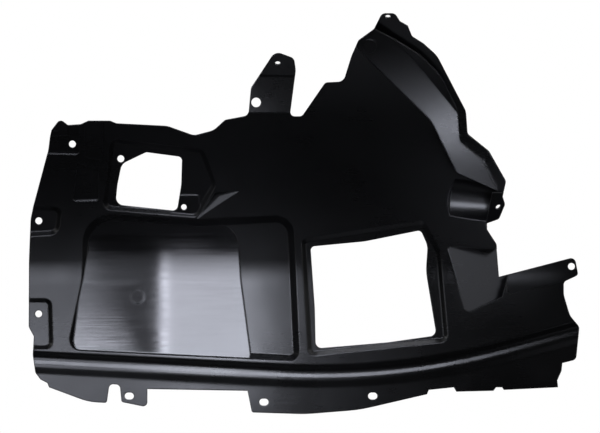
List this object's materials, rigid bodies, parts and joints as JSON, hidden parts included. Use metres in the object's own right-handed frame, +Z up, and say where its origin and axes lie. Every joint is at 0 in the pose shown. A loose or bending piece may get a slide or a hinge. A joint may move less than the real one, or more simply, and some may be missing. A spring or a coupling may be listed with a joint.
{
  "type": "wheel arch liner",
  "caption": "Front section of a car wheel arch liner: a curved sheet of black plastic with a sunk pocket, a smooth panel, two windows, a stiffening bead and a holed flange.",
  "frame": {"origin": "centre of the locating hole in the upper tab, on its wheel-side face", "axes": "+X along the car to the right as seen from the wheel, +Z up, +Y from the wheel towards the car body"},
  "size_m": [0.6387, 0.1662, 0.4628],
  "materials": {
    "liner_plastic": "satin moulded polypropylene, smoother on the raised panel"
  },
  "bodies": {
    "root": {"liner": "liner_plastic"}
  },
  "joints": []
}
